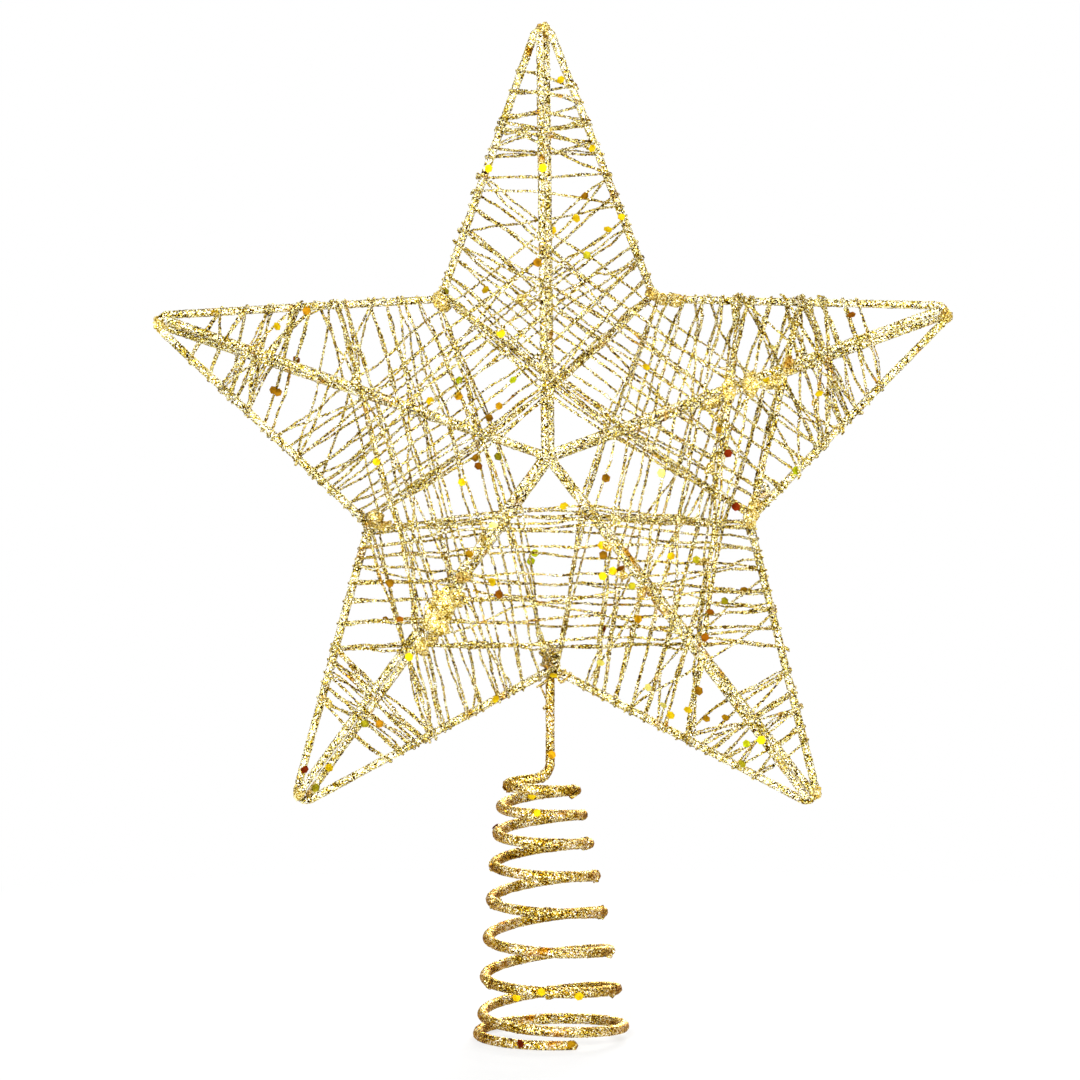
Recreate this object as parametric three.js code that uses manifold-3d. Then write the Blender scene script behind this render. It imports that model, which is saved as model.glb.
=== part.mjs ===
// A tree topper: a hollow five-pointed star of thick wire, wound with thin wire, standing on a
// conical coil that slips over the top shoot of a tree. Everything is coated with glitter, so each
// diameter here is that of the coated wire. Millimetres and degrees throughout. The origin is on the
// ground under the coil, +Z is up, the star lies in the plane y = 0 and its front faces -Y.

import * as THREE from "three";
import { mergeVertices } from "three/addons/utils/BufferGeometryUtils.js";
import Module from "manifold-3d";

const wasm = await Module();
wasm.setup();

// Wires
const OUTLINE_DIAMETER = 2.4;
const RIDGE_DIAMETER = 2.2;
const THREAD_DIAMETER = 0.9;
const COIL_DIAMETER = 2.9;
const CLEARANCE = 0.3; // between two wires that touch
const THREAD_CLEARANCE = 0.35; // between two threads, which cross at a slant

// Star: a point's reach is measured to the sharp corner, before the wire is bent round it
const TIP_REACH = 110;
const VALLEY_REACH = 50;
const APEX_DEPTH = 22; // from the star's plane to the front and back apex
const TIP_BEND_RADIUS = 2.5;
const VALLEY_BEND_RADIUS = 2.5;
const POINT_COUNT = 5;
const ARM_NAMES = ["top", "right", "lower_right", "lower_left", "left"];
const VALLEY_NAMES = ["upper_right", "right", "bottom", "left", "upper_left"];

// The star is bent by hand: how far each point and valley turns from its even place, and reaches past it
const TIP_TURN = [1.3, 1.9, 1, -0.2, -0.6];
const TIP_EXTRA = [1.3, -0.9, 2.9, 1.9, -1.7];
const VALLEY_TURN = [2.5, -0.7, 0, 3.3, 0];
const VALLEY_EXTRA = [-3.4, 2.4, 4.5, -0.3, -2];
const FRONT_APEX = new THREE.Vector2(-1.9, -0.5);
const BACK_APEX = new THREE.Vector2(-0.3, -1.3);

// Windings: each body winding goes round two neighbouring points, each tip winding round one
const BODY_LOOPS = 6;
const BODY_FIRST = 4.2; // along the outline, from the valley to the first turn
const BODY_LAST_TO_VALLEY = 4; // how far inside the valley between its points the last turn passes
const BODY_CROWDING = 1.4; // above 1, turns lie closer near the middle of the star
const BODY_BOW = 4.5; // how far the first turns are drawn towards the middle of the star, at the ridges
const BODY_BOWED_LOOPS = 2.5; // turns over which this fades
const TIP_LOOPS = 4;
const TIP_FIRST = [17, 25, 17, 27, 17]; // along the outline, from each corner of a point
const TIP_LAST = [38, 44, 36, 41, 40];
const UNEVENNESS = 0.2; // how far a turn may stray from its even place, as a share of a turn
const TAIL_LENGTH = 3; // of a thread's loose ends

// Coil: turns are counted downward from the stem, starting at the left and going round by the front
const COIL_TURNS = 8.3;
const COIL_TOP_RADIUS = 8.6;
const COIL_FLARE = 1.28; // growth of the radius in each turn
const COIL_PITCH = 9.8;
const COIL_TOP_PITCH = 5.3;
const COIL_CLOSE_TURNS = 4.5; // the pitch opens from the top over this many turns
const COIL_SETTLE_TURNS = 1.1; // it closes again towards the foot over this many turns
const COIL_FLAT_FROM = 8.12; // the foot lies flat from this turn on
const COIL_LEAN = 3; // towards -X
const FOOT_FLAT_DEPTH = 0.5; // worn flat where the coil stands
const STEM_X = -0.6;
const STEM_HEIGHT = 29; // from the coil's start to the star's bottom valley
const STEM_ABOVE_VALLEY = 5;
const STEM_STRAIGHT_BELOW_VALLEY = 10;
const STEM_BEND_RADIUS = 4;
const KNEE_ABOVE_COIL = 1.7; // the stem's bend lies higher than the coil's start by this much
const COIL_START_BEND_RADIUS = 2.6;

// Lashing that ties the stem to the star
const LASHING_LOOPS = 2;
const LASHING_ANGLE = 50; // above the horizontal
const LASHING_FIRST = 1.8; // along the outline's right-hand leg, from the valley
const LASHING_PITCH = 1.7; // along that leg

// Facets
const FRAME_SIDES = 8;
const COIL_SIDES = 6;
const COIL_STEPS = 12; // in a turn
const THREAD_SIDES = 5;
const BEND_STEP = 28; // degrees turned in one facet of a bend
const OCTAGON_HALF_STEP = Math.PI / 8;

const GOLD = { color: 0xd4ad4e, roughness: 0.38, metalness: 0.85 };
const PALE_GOLD = { color: 0xe0bf66, roughness: 0.36, metalness: 0.85 };
const DEEP_GOLD = { color: 0xb98a2c, roughness: 0.4, metalness: 0.85 };

const radians = THREE.MathUtils.degToRad;
const outlineRadius = OUTLINE_DIAMETER / 2;
const ridgeRadius = RIDGE_DIAMETER / 2;
const threadRadius = THREAD_DIAMETER / 2;
const coilRadius = COIL_DIAMETER / 2;

// Wires as meshes

// Bends a wire round each corner of its path with an arc.
function bendCorners(corners, radii, closed = false) {
  const count = corners.length;
  return corners.flatMap((corner, i) => {
    const radius = Array.isArray(radii) ? radii[i] : radii;
    if ((!closed && (i === 0 || i === count - 1)) || !radius) return [corner];
    const before = corners[(i + count - 1) % count].clone().sub(corner).normalize();
    const after = corners[(i + 1) % count].clone().sub(corner).normalize();
    const halfAngle = before.angleTo(after) / 2;
    const turn = Math.PI - 2 * halfAngle;
    const steps = Math.max(1, Math.round(turn / radians(BEND_STEP)));
    const inward = before.clone().add(after).normalize();
    const centre = corner.clone().addScaledVector(inward, radius / Math.sin(halfAngle));
    const outward = inward.clone().negate();
    const onward = after.clone().sub(before).normalize();
    return Array.from({ length: steps + 1 }, (_, k) => {
      const a = turn * (k / steps - 0.5);
      return centre
        .clone()
        .addScaledVector(outward, radius * Math.cos(a))
        .addScaledVector(onward, radius * Math.sin(a));
    });
  });
}

// A round wire through the points, mitred at each of them. The first facet faces along `facing`.
function wireGeometry(points, radius, sides, facing, closed = false) {
  const count = points.length;
  const heading = (i) => points[(i + 1) % count].clone().sub(points[i % count]).normalize();
  const positions = [];
  let before = closed ? heading(count - 1) : heading(0);
  let normal = facing.clone().addScaledVector(before, -facing.dot(before)).normalize();
  let binormal = before.clone().cross(normal);
  points.forEach((point, i) => {
    const after = !closed && i === count - 1 ? before : heading(i);
    const mitre = before.clone().add(after).normalize();
    const onMitre = (v) => v.clone().addScaledVector(before, -v.dot(mitre) / before.dot(mitre));
    const [n, b] = [onMitre(normal), onMitre(binormal)];
    for (let k = 0; k < sides; k++) {
      const a = (2 * Math.PI * (k + 0.5)) / sides;
      const p = point
        .clone()
        .addScaledVector(n, radius * Math.cos(a))
        .addScaledVector(b, radius * Math.sin(a));
      positions.push(p.x, p.y, p.z);
    }
    normal = n.addScaledVector(after, -n.dot(after)).normalize();
    binormal = b.addScaledVector(after, -b.dot(after)).normalize();
    before = after;
  });
  const index = [];
  const rings = closed ? count : count - 1;
  for (let i = 0; i < rings; i++) {
    const [here, next] = [i * sides, ((i + 1) % count) * sides];
    for (let k = 0; k < sides; k++) {
      const l = (k + 1) % sides;
      index.push(here + k, here + l, next + l, here + k, next + l, next + k);
    }
  }
  if (!closed) {
    const end = (count - 1) * sides;
    for (let k = 1; k < sides - 1; k++) index.push(0, k + 1, k, end, end + k, end + k + 1);
  }
  const geometry = new THREE.BufferGeometry();
  geometry.setAttribute("position", new THREE.Float32BufferAttribute(positions, 3));
  geometry.setIndex(index);
  geometry.computeVertexNormals();
  return geometry;
}

function named(name, geometry, finish) {
  const mesh = new THREE.Mesh(geometry, new THREE.MeshStandardMaterial(finish));
  mesh.name = name;
  return mesh;
}

// The least gap between a wire and itself, measured on points along it.
function leastGapToItself(points, diameter) {
  const samples = [];
  let travelled = 0;
  points.slice(1).forEach((point, i) => {
    const length = point.distanceTo(points[i]);
    const steps = Math.ceil((3 * length) / diameter);
    for (let k = 0; k < steps; k++) {
      const share = k / steps;
      samples.push({ p: points[i].clone().lerp(point, share), at: travelled + length * share });
    }
    travelled += length;
  });
  const apart = 4 * diameter; // nearer along the wire than this, two points are neighbours
  let least = Infinity;
  samples.forEach((a, i) => {
    for (let j = i + 1; j < samples.length; j++) {
      if (samples[j].at - a.at > apart) least = Math.min(least, a.p.distanceTo(samples[j].p));
    }
  });
  return least - diameter;
}

// The star's corners, in its own plane: x to the right, y up, from its centre

const polar = (degrees, reach) =>
  new THREE.Vector2(reach * Math.cos(radians(degrees)), reach * Math.sin(radians(degrees)));
const turnOfPoint = 360 / POINT_COUNT;
const tips = TIP_TURN.map((turn, i) => polar(90 - turnOfPoint * i + turn, TIP_REACH + TIP_EXTRA[i]));
const valleys = VALLEY_TURN.map((turn, i) =>
  polar(90 - turnOfPoint * (i + 0.5) + turn, VALLEY_REACH + VALLEY_EXTRA[i]),
);
const tip = (i) => tips[(i + POINT_COUNT) % POINT_COUNT];
const valley = (i) => valleys[(i + POINT_COUNT) % POINT_COUNT];

const bottom = VALLEY_NAMES.indexOf("bottom"); // the valley that the stem is tied to
const lashingLength = LASHING_FIRST + LASHING_PITCH * LASHING_LOOPS; // on the leg right of it

// A place in the star's plane, lifted towards the front (side 1) or the back (side -1).
const lifted = (place, lift, side = 1) => new THREE.Vector3(place.x, -side * lift, place.y);

// Frame

function outlineMesh() {
  const corners = tips.flatMap((_, i) => [lifted(tip(i), 0), lifted(valley(i), 0)]);
  const radii = tips.flatMap(() => [TIP_BEND_RADIUS, VALLEY_BEND_RADIUS]);
  const path = bendCorners(corners, radii, true);
  const geometry = wireGeometry(path, outlineRadius, FRAME_SIDES, new THREE.Vector3(0, 1, 0), true);
  return named("star_outline", geometry, GOLD);
}

// Where the outline's bend is furthest out at a point of the star.
function bentTip(i) {
  const [toLeft, toRight] = [valley(i - 1), valley(i)].map((v) => v.clone().sub(tip(i)).normalize());
  const halfAngle = Math.acos(toLeft.dot(toRight)) / 2;
  const inward = toLeft.add(toRight).normalize();
  return tip(i).clone().addScaledVector(inward, TIP_BEND_RADIUS / Math.sin(halfAngle) - TIP_BEND_RADIUS);
}

const tipLift = outlineRadius + ridgeRadius + CLEARANCE; // the ridge lies on the outline there

// The ridges' centre lines, from the outline at each point to the apex.
const ridgeLines = [1, -1].flatMap((side) =>
  tips.map((_, i) => ({
    side,
    arm: i,
    from: { place: bentTip(i), lift: tipLift },
    to: { place: side > 0 ? FRONT_APEX : BACK_APEX, lift: APEX_DEPTH },
    radius: ridgeRadius,
  })),
);

// How far from the apex the ridges stop, so that they clear each other round the bead.
const ridgeStop = (() => {
  const directions = ridgeLines.map(({ side, from, to }) =>
    lifted(from.place, from.lift, side).sub(lifted(to.place, to.lift, side)).normalize(),
  );
  const least = Math.min(
    ...directions.map((d, i) => {
      const side = Math.floor(i / POINT_COUNT) * POINT_COUNT;
      return d.angleTo(directions[side + ((i + 1) % POINT_COUNT)]);
    }),
  );
  return (ridgeRadius * Math.cos(least / 2) + CLEARANCE) / Math.sin(least / 2);
})();

function ridgeMesh({ side, arm, from, to }) {
  const start = lifted(from.place, from.lift, side);
  const apex = lifted(to.place, to.lift, side);
  const direction = apex.clone().sub(start).normalize();
  const length = apex.distanceTo(start) - ridgeStop;
  const geometry = new THREE.CylinderGeometry(ridgeRadius, ridgeRadius, length, FRAME_SIDES);
  const mesh = named(`${side > 0 ? "front" : "back"}_ridge_${ARM_NAMES[arm]}`, geometry, PALE_GOLD);
  mesh.position.copy(start).addScaledVector(direction, length / 2);
  mesh.quaternion.setFromUnitVectors(new THREE.Vector3(0, 1, 0), direction);
  return mesh;
}

function apexBead(name, place, side) {
  const bead = named(name, new THREE.SphereGeometry(ridgeStop - CLEARANCE, 12, 8), PALE_GOLD);
  bead.position.copy(lifted(place, APEX_DEPTH, side));
  return bead;
}

// Thread pulled tight over the wires that it crosses

const cross2 = (a, b) => a.x * b.y - a.y * b.x;

// The place at a distance from the first of two places towards the second.
const along = (from, to, distance) =>
  from.clone().addScaledVector(to.clone().sub(from).normalize(), distance);

// The wires that a thread on this side may rest on, as straight pieces in the star's plane.
const outlineLines = tips.flatMap((_, i) => [
  { from: { place: valley(i - 1), lift: 0 }, to: { place: tip(i), lift: 0 }, radius: outlineRadius },
  { from: { place: tip(i), lift: 0 }, to: { place: valley(i), lift: 0 }, radius: outlineRadius },
]);
const laid = []; // threads that are there already, in the same form, with their side

// What lies under a thread whose plan runs through the points, as ellipses in its own upright section.
function crossed(plan, side, wires) {
  const reach = outlineRadius; // past both ends, so that the wires there are found
  let travelled = 0;
  return plan.slice(1).flatMap((to, k) => {
    const from = plan[k];
    const length = to.distanceTo(from);
    const ahead = to.clone().sub(from).normalize();
    const [least, most] = [k === 0 ? -reach : 0, k === plan.length - 2 ? length + reach : length];
    const start = travelled;
    travelled += length;
    return wires.flatMap((wire) => {
      if (wire.side === -side) return [];
      const wireRun = wire.to.place.clone().sub(wire.from.place);
      const turn = cross2(ahead, wireRun);
      const gap = wire.from.place.clone().sub(from);
      const at = cross2(gap, wireRun) / turn;
      const share = cross2(gap, ahead) / turn;
      if (!(at >= least && at <= most && share >= 0 && share <= 1)) return [];
      const rise = (wire.to.lift - wire.from.lift) / wireRun.length();
      const slant = Math.abs(turn) / wireRun.length();
      const apart = wire.radius + threadRadius + (wire.thread ? THREAD_CLEARANCE : CLEARANCE);
      const over = apart * Math.hypot(1, rise);
      const lift = wire.from.lift + (wire.to.lift - wire.from.lift) * share;
      return [{ at: start + at, lift, over, across: over / slant }];
    });
  });
}

// The outer chain of a thread drawn tight over ellipses, each taken as the octagon round it.
function tightChain(ellipses) {
  const corners = ellipses
    .flatMap(({ at, lift, over, across }) =>
      [1, 3, 5, 7].map((k) => {
        const a = k * OCTAGON_HALF_STEP;
        const grow = 1 / Math.cos(OCTAGON_HALF_STEP);
        return { at: at + across * grow * Math.cos(a), lift: lift + over * grow * Math.sin(a) };
      }),
    )
    .sort((a, b) => a.at - b.at || a.lift - b.lift);
  const bulge = (a, b, c) =>
    ((b.at - a.at) * (c.lift - a.lift) - (b.lift - a.lift) * (c.at - a.at)) /
    Math.hypot(c.at - a.at, c.lift - a.lift);
  const flat = 0.03; // a corner that stands out by less is left out
  const chain = [];
  corners.forEach((corner) => {
    while (chain.length > 1 && bulge(chain.at(-2), chain.at(-1), corner) > -flat) chain.pop();
    chain.push(corner);
  });
  return chain;
}

// The place at a distance along a plan that runs through the points, on past its ends too.
function placeOn(plan, distance) {
  let from = 0;
  let left = distance;
  while (from < plan.length - 2 && left > plan[from].distanceTo(plan[from + 1])) {
    left -= plan[from].distanceTo(plan[from + 1]);
    from += 1;
  }
  return along(plan[from], plan[from + 1], left);
}

// A strand drawn tight above its plan, over the front (side 1) or the back (side -1).
function strand(plan, side, wires) {
  return tightChain(crossed(plan, side, wires)).map(({ at, lift }) => ({ place: placeOn(plan, at), lift }));
}

// A plan from one place to another, bowed by a shift where it passes the ridges.
function bowed(from, to, side, shift) {
  if (!shift) return [from, to];
  const run = to.clone().sub(from);
  const bends = ridgeLines
    .filter((ridge) => ridge.side === side)
    .map((ridge) => {
      const ridgeRun = ridge.to.place.clone().sub(ridge.from.place);
      const turn = cross2(run, ridgeRun);
      const gap = ridge.from.place.clone().sub(from);
      return { share: cross2(gap, ridgeRun) / turn, onRidge: cross2(gap, run) / turn };
    })
    .filter(({ share, onRidge }) => share > 0 && share < 1 && onRidge > 0 && onRidge < 1)
    .sort((a, b) => a.share - b.share);
  return [from, ...bends.map(({ share }) => from.clone().lerp(to, share).add(shift)), to];
}

// Winds a thread: over the front from near[k] to far[k], and over the back from there to near[k + 1].
// It starts and ends with a short tail that lies along the next turn that there would be. `shiftOf`
// gives the bow of the strand that starts after so many half turns.
function wind(near, far, wires, shiftOf = () => undefined) {
  const strands = [];
  const lay = (from, to, side, shift, cut = (corners) => corners) => {
    const corners = cut(strand(bowed(from, to, side, shift), side, [...wires, ...laid]));
    strands.push({ side, corners });
    corners.slice(1).forEach((corner, k) => {
      laid.push({ side, from: corners[k], to: corner, radius: threadRadius, thread: true });
    });
  };
  const last = near.length - 1;
  const before = far[0].clone().add(near[0]).sub(near[1]);
  const after = far[last - 1].clone().add(near[last]).sub(near[last - 1]);
  lay(before, near[0], -1, undefined, (corners) => shortened(corners.reverse()).reverse());
  far.forEach((farPlace, k) => {
    lay(near[k], farPlace, 1, shiftOf(2 * k));
    lay(farPlace, near[k + 1], -1, shiftOf(2 * k + 1));
  });
  lay(near[last], after, 1, undefined, shortened);
  return strands.flatMap(({ side, corners }) =>
    corners.map(({ place, lift }) => lifted(place, lift, side)),
  );
}

// The first straight piece of a strand, cut to the length of a tail.
function shortened([first, second]) {
  const share = TAIL_LENGTH / Math.hypot(second.place.distanceTo(first.place), second.lift - first.lift);
  return [
    first,
    {
      place: first.place.clone().lerp(second.place, share),
      lift: THREE.MathUtils.lerp(first.lift, second.lift, share),
    },
  ];
}

function threadMesh(name, path, finish = GOLD) {
  console.log(`${name}: least gap to itself ${leastGapToItself(path, THREAD_DIAMETER).toFixed(2)} mm`);
  return named(name, wireGeometry(path, threadRadius, THREAD_SIDES, new THREE.Vector3(0, 1, 0)), finish);
}

// A small even-handed stray, the same on every run.
const stray = (seed) => UNEVENNESS * Math.sin(2.4 * seed + 3 * Math.sin(7.9 * seed));

// How far along an edge a thread has to be hung to pass inside a valley by a given margin.
function reachPastValley(edgeFrom, edgeTo, otherFrom, otherTo, between, margin) {
  const inside = between.clone().addScaledVector(between.clone().normalize(), -margin);
  const chord = otherFrom.clone().sub(edgeFrom);
  const edge = edgeTo.clone().sub(edgeFrom).normalize();
  return cross2(inside.clone().sub(edgeFrom), chord) / cross2(edge, chord);
}

function bodyWinding(i) {
  const near = [valley(i - 1), tip(i)];
  const far = [valley(i + 1), tip(i + 1)];
  const nearEnd = reachPastValley(...near, ...far, valley(i), BODY_LAST_TO_VALLEY);
  const farEnd = reachPastValley(...far, ...near, valley(i), BODY_LAST_TO_VALLEY);
  const farFirst = BODY_FIRST + (i + 1 === bottom ? lashingLength : 0); // the lashing lies before it
  const place = (edge, first, end, step, seed) => {
    const turns = step > 0 ? Math.min(step + stray(seed), BODY_LOOPS) : 0;
    return along(...edge, first + (end - first) * (turns / BODY_LOOPS) ** BODY_CROWDING);
  };
  const nearPlaces = Array.from({ length: BODY_LOOPS + 1 }, (_, k) =>
    place(near, BODY_FIRST, nearEnd, k, 9 * i + k),
  );
  const farPlaces = Array.from({ length: BODY_LOOPS }, (_, k) =>
    place(far, farFirst, farEnd, k + 0.5, 9 * i + k + 4.5),
  );
  const inward = valley(i).clone().normalize().negate();
  const shiftOf = (halfTurns) =>
    inward.clone().multiplyScalar(BODY_BOW * Math.max(0, 1 - halfTurns / (2 * BODY_BOWED_LOOPS)));
  const path = wind(nearPlaces, farPlaces, [...outlineLines, ...ridgeLines], shiftOf);
  return threadMesh(`web_${VALLEY_NAMES[i]}`, path);
}

function tipWinding(i) {
  const first = TIP_FIRST[i];
  const pitch = (TIP_LAST[i] - first) / TIP_LOOPS;
  const nearPlaces = Array.from({ length: TIP_LOOPS + 1 }, (_, k) =>
    along(tip(i), valley(i - 1), first + pitch * (k + stray(5 * i + k + 50))),
  );
  const farPlaces = Array.from({ length: TIP_LOOPS }, (_, k) =>
    along(tip(i), valley(i), first + pitch * (k + 0.5 + stray(5 * i + k + 80))),
  );
  const path = wind(nearPlaces, farPlaces, [...outlineLines, ...ridgeLines]);
  return threadMesh(`tip_wrap_${ARM_NAMES[i]}`, path);
}

// Coil and stem

const stemLift = -(outlineRadius + coilRadius + CLEARANCE); // the stem stands behind the outline
const stemFoot = new THREE.Vector2(STEM_X, valley(bottom).y - STEM_STRAIGHT_BELOW_VALLEY);
const stemHead = new THREE.Vector2(STEM_X, valley(bottom).y + STEM_ABOVE_VALLEY);

const footHeight = coilRadius - FOOT_FLAT_DEPTH;
const UP = new THREE.Vector3(0, 0, 1);
const BACKWARD = new THREE.Vector3(0, 1, 0);

// The height of the coil above its foot at a turn: the pitch, summed from there to the foot.
function coilRise(turn) {
  const left = Math.max(0, COIL_FLAT_FROM - turn);
  const settling = Math.min(left, COIL_SETTLE_TURNS);
  const closing = Math.max(0, COIL_CLOSE_TURNS - turn);
  return (
    COIL_PITCH * (left - settling + settling ** 2 / (2 * COIL_SETTLE_TURNS)) -
    ((COIL_PITCH - COIL_TOP_PITCH) * closing ** 2) / (2 * COIL_CLOSE_TURNS)
  );
}

function coilPoint(turn) {
  const rise = coilRise(turn);
  const lean = radians(COIL_LEAN) * THREE.MathUtils.smoothstep(rise, 0, COIL_PITCH);
  return new THREE.Vector3(-COIL_TOP_RADIUS - COIL_FLARE * turn, 0, 0)
    .applyAxisAngle(UP, 2 * Math.PI * turn)
    .setZ(footHeight + rise)
    .applyAxisAngle(BACKWARD, -lean);
}

// The star's centre stands at this height, on the stem.
const starHeight = coilPoint(0).z + STEM_HEIGHT - valley(bottom).y;

function coilPath() {
  const first = 1 / COIL_STEPS;
  const steps = Math.round((COIL_TURNS - first) * COIL_STEPS);
  const turns = Array.from({ length: steps + 1 }, (_, k) =>
    coilPoint(first + ((COIL_TURNS - first) * k) / steps),
  );
  const start = coilPoint(0);
  const knee = new THREE.Vector3(STEM_X, 0, start.z + KNEE_ABOVE_COIL);
  const onStar = (place) => lifted(place, stemLift).setZ(place.y + starHeight);
  const lead = bendCorners(
    [onStar(stemHead), onStar(stemFoot), knee, start, turns[0]],
    [0, STEM_BEND_RADIUS, STEM_BEND_RADIUS, COIL_START_BEND_RADIUS, 0],
  );
  return [...lead, ...turns.slice(1)];
}

// The coil's wire, cut flat where it stands.
function coilMesh() {
  const path = coilPath();
  console.log(`coil: least gap to itself ${leastGapToItself(path, COIL_DIAMETER).toFixed(2)} mm`);
  const round = wireGeometry(path, coilRadius, COIL_SIDES, new THREE.Vector3(1, 0, 0));
  const width = 4 * (COIL_TOP_RADIUS + COIL_FLARE * COIL_TURNS);
  const ground = new THREE.BoxGeometry(width, width, 2 * COIL_DIAMETER).translate(0, 0, -COIL_DIAMETER);
  return named("coil_and_stem", geometryOf(solidOf(round).subtract(solidOf(ground))), DEEP_GOLD);
}

function solidOf(geometry) {
  const bare = new THREE.BufferGeometry();
  bare.setAttribute("position", geometry.getAttribute("position"));
  bare.setIndex(geometry.index);
  const merged = mergeVertices(bare);
  return new wasm.Manifold(
    new wasm.Mesh({
      numProp: 3,
      vertProperties: merged.getAttribute("position").array,
      triVerts: new Uint32Array(merged.index.array),
    }),
  );
}

function geometryOf(solid) {
  const { vertProperties, triVerts } = solid.getMesh();
  const geometry = new THREE.BufferGeometry();
  geometry.setAttribute("position", new THREE.BufferAttribute(vertProperties, 3));
  geometry.setIndex(new THREE.BufferAttribute(triVerts, 1));
  geometry.computeVertexNormals();
  return geometry;
}

// The lashing's turns run slantwise, over the front of the outline's right-hand leg and behind the stem.
function lashingMesh() {
  const stemLine = (side) => ({
    side,
    from: { place: stemFoot, lift: side * stemLift },
    to: { place: stemHead, lift: side * stemLift },
    radius: coilRadius,
  });
  const onLeg = (step) => along(valley(bottom), tip(bottom), LASHING_FIRST + LASHING_PITCH * step);
  const onStem = (step) => {
    const leg = onLeg(step);
    return new THREE.Vector2(STEM_X, leg.y - (leg.x - STEM_X) * Math.tan(radians(LASHING_ANGLE)));
  };
  const stemPlaces = Array.from({ length: LASHING_LOOPS + 1 }, (_, k) => onStem(k));
  const legPlaces = Array.from({ length: LASHING_LOOPS }, (_, k) => onLeg(k + 0.5));
  const wires = [...outlineLines, stemLine(1), stemLine(-1)];
  return threadMesh("stem_lashing", wind(stemPlaces, legPlaces, wires), DEEP_GOLD);
}

// Assembly

const star = new THREE.Group();
star.position.z = starHeight;
star.add(
  outlineMesh(),
  ...ridgeLines.map(ridgeMesh),
  apexBead("front_apex_bead", FRONT_APEX, 1),
  apexBead("back_apex_bead", BACK_APEX, -1),
  lashingMesh(),
  ...VALLEY_NAMES.map((_, i) => bodyWinding(i)),
  ...ARM_NAMES.map((_, i) => tipWinding(i)),
);

const topper = new THREE.Group();
topper.add(star, coilMesh());

export default topper;
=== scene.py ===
"""Looks of a star tree topper of gold glitter wire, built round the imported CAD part. Sizes are in
millimetres until a mesh is made, which is in metres. The star lies in the plane y = 0, its front
faces -Y, and its windings follow the same rule as the part's."""

import math
import random

import bmesh
import bpy
import numpy as np
from mathutils import Matrix, Vector, noise


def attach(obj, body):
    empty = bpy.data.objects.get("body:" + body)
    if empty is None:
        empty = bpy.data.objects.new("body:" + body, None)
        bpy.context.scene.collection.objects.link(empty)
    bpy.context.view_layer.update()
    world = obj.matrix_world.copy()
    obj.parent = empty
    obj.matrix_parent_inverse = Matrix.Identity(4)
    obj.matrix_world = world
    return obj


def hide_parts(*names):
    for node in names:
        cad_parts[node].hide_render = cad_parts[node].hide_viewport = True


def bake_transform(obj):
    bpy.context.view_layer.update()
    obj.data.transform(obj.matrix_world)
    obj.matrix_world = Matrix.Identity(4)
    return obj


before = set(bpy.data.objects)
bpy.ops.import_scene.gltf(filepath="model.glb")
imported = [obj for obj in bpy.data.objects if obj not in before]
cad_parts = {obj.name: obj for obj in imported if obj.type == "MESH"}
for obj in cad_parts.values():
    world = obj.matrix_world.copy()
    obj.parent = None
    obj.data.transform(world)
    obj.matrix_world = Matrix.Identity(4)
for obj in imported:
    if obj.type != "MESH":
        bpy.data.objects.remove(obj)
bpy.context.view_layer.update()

MM = 0.001

# Diameters of the part's wires, and the share of each that the mesh shows
OUTLINE = 2.4
OUTLINE_SHOWN = 0.89
RIDGE = 2.2
RIDGE_SHOWN = 0.92
THREAD = 0.92
THREAD_SHOWN = 0.88
COIL = 2.9
COIL_SHOWN = 0.95
STEM_SHOWN = 0.82
STEM_SLIMS_FROM = 66  # height above which the stem is thinner than the coil
STEM_SLIMS_OVER = 4

# Star
TIP_REACH = 110
VALLEY_REACH = 50
APEX_DEPTH = 22
BEND_RADIUS = 2.5
ARMS = ("top", "right", "lower_right", "lower_left", "left")
VALLEYS = ("upper_right", "right", "bottom", "left", "upper_left")
TIP_TURN = (1.3, 1.9, 1, -0.2, -0.6)
TIP_EXTRA = (1.3, -0.9, 2.9, 1.9, -1.7)
VALLEY_TURN = (2.5, -0.7, 0, 3.3, 0)
VALLEY_EXTRA = (-3.4, 2.4, 4.5, -0.3, -2)
APEXES = {1: Vector((-1.9, -0.5)), -1: Vector((-0.3, -1.3))}
RIDGE_SET_BACK = 1  # from the middle of the bend at a point
RIDGE_SPLIT = (-0.8, -1, 1, 1.1, 1)  # how far to its side a point's front ridge starts
BOTTOM = 2

# Windings
BODY_LOOPS = 6
BODY_FIRST = 4.2
BODY_LAST_TO_VALLEY = 4
BODY_CROWDING = 1.15  # nearer to even than the part's 1.4
BODY_BOW = 4.5
BODY_BOWED_LOOPS = 2.5
TIP_LOOPS = 4
TIP_FIRST = (17, 25, 17, 27, 17)
TIP_LAST = (38, 44, 36, 41, 40)
UNEVENNESS = 0.2  # of a turn
STRAY = 0.6  # how far a turn of a body winding may lie off its place

# For each point, how far past its winding's first turn the loose turns lie on one edge and on the
# other, and the same for its stray turns
LOOSE = (
    (((13, 19, 15, 27), (22, 14, 26)), ((30, 41), (36,))),
    (((9, 19, 13, 27), (22, 14, 26)), ((8, 30, 16, 38), (24, 12, 33))),
    (((9, 19, 13), (22, 14)), ((34, 44), (39,))),
    (((8, 12), (15,)), None),
    (((9, 19, 13, 27), (22, 14, 26)), ((9, 36, 44), (30, 40))),
)
LOOSE_JITTER = 1

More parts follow.
